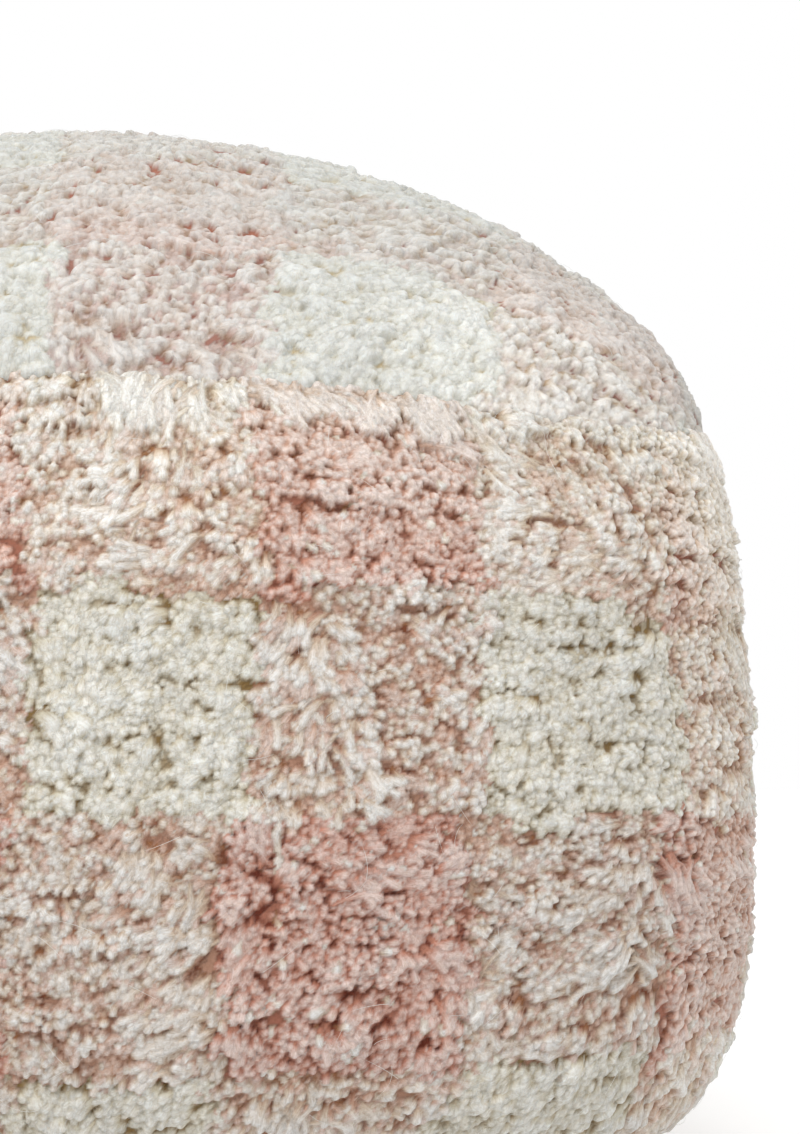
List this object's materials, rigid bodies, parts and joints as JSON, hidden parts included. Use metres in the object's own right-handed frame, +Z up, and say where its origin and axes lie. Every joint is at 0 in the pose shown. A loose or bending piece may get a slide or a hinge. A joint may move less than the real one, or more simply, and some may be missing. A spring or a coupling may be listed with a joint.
{
  "type": "pouf",
  "caption": "Square stuffed floor pouf with rounded corners, a crowned top, full drawn-in sides and a flat base, covered in deep gingham-check wool pile; a low seat or footrest.",
  "frame": {"origin": "on the floor at the middle of the base", "axes": "+Z up through the crown; -Y is the side seen from the front, with +X to its right"},
  "size_m": [0.5038, 0.5063, 0.4012],
  "materials": {
    "top_pile": "cream and dusty pink gingham in a deep tufted wool pile, matt",
    "side_pile": "cream and dusty pink gingham in a deep tufted wool pile, matt",
    "base_canvas": "plain undyed canvas, matt"
  },
  "bodies": {
    "root": {"top_panel": "top_pile", "side_band": "side_pile", "base_panel": "base_canvas"}
  },
  "joints": []
}
